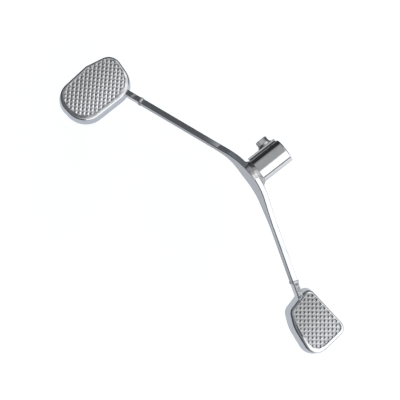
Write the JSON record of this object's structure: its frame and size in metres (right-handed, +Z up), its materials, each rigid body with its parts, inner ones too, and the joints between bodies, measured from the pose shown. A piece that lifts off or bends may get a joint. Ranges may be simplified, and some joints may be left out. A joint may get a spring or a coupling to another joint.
{
  "type": "gear shift pedal",
  "caption": "Heel-and-toe gear shift pedal: bent steel lever with a knurled pad at each end and a split clamp hub with a pinch bolt, chromed.",
  "frame": {"origin": "middle of the mouth of the serrated bore, on the shaft axis", "axes": "+X forward to the toe pad, +Y outboard along the shaft axis to the rider's boot, +Z up, square to the pads"},
  "size_m": [0.3341, 0.1382, 0.0524],
  "materials": {
    "bar_chrome": "polished chrome plate",
    "hub_chrome": "polished chrome plate",
    "pad_chrome": "polished chrome plate on knurled steel",
    "weld_chrome": "chrome plate over an uneven weld bead",
    "bolt_zinc": "satin zinc plate"
  },
  "bodies": {
    "root": {"lever_arm": "bar_chrome", "clamp_hub": "hub_chrome", "toe_pad": "pad_chrome", "heel_pad": "pad_chrome", "pinch_bolt": "bolt_zinc", "hub_weld": "weld_chrome", "toe_weld": "weld_chrome", "heel_weld": "weld_chrome"}
  },
  "joints": []
}
